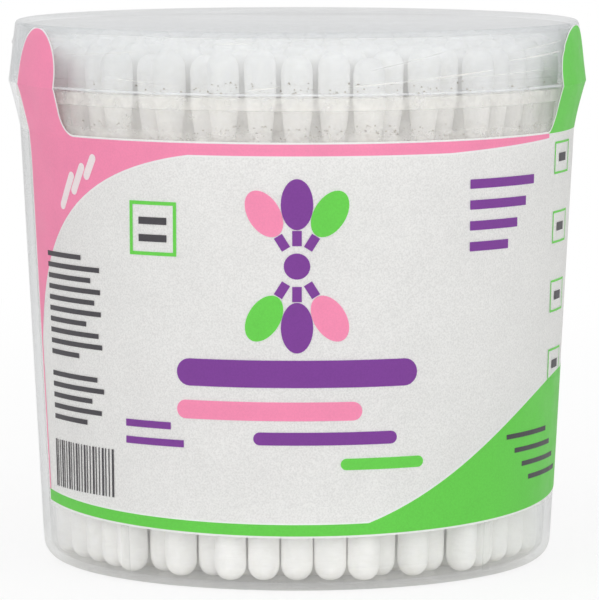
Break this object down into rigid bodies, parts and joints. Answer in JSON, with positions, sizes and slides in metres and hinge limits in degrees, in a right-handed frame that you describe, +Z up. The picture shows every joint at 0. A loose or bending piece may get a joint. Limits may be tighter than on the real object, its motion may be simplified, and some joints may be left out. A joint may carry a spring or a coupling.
{
  "type": "cotton swab tub",
  "caption": "Round clear tub packed with upright cotton swabs, with a lift-off clear lid and a printed film sleeve in white, pink and green.",
  "frame": {"origin": "centre of the flat base, on the surface that the tub stands on", "axes": "+Z up along the tub's axis, -Y towards the front of the label"},
  "size_m": [0.0831, 0.083, 0.0774],
  "materials": {
    "clear_plastic": "clear",
    "film": "clear",
    "print_ground": "satin",
    "print_pink": "satin",
    "print_green": "satin",
    "print_purple": "satin",
    "print_dark": "matte",
    "stick": "matte",
    "cotton": "soft"
  },
  "bodies": {
    "tub": {"tub_body": "clear_plastic", "film_sleeve": "film", "label_panel": "print_ground", "label_pink": "print_pink", "label_green": "print_green", "print_purple": "print_purple", "print_pink": "print_pink", "print_green": "print_green", "print_dark": "print_dark", "print_white": "print_ground", "sticks_ring_0": "stick", "sticks_ring_1": "stick", "sticks_ring_2": "stick", "sticks_ring_3": "stick", "sticks_ring_4": "stick", "sticks_ring_5": "stick", "sticks_ring_6": "stick", "sticks_front": "stick", "sticks_back": "stick", "heads_top_ring_0": "cotton", "heads_top_ring_1": "cotton", "heads_top_ring_2": "cotton", "heads_top_ring_3": "cotton", "heads_top_ring_4": "cotton", "heads_top_ring_5": "cotton", "heads_top_ring_6": "cotton", "heads_top_front": "cotton", "heads_top_back": "cotton", "heads_low_ring_0": "cotton", "heads_low_ring_1": "cotton", "heads_low_ring_2": "cotton", "heads_low_ring_3": "cotton", "heads_low_ring_4": "cotton", "heads_low_ring_5": "cotton", "heads_low_ring_6": "cotton", "heads_low_front": "cotton", "heads_low_back": "cotton"},
    "lid": {"lid": "clear_plastic", "film_cap": "film", "ear_pink": "print_pink", "ear_green": "print_green"}
  },
  "joints": [
    {"name": "lid_lift", "type": "slide", "parent": "tub", "child": "lid", "axis": [0, 0, 1], "range_m": [0, 0.04]}
  ]
}
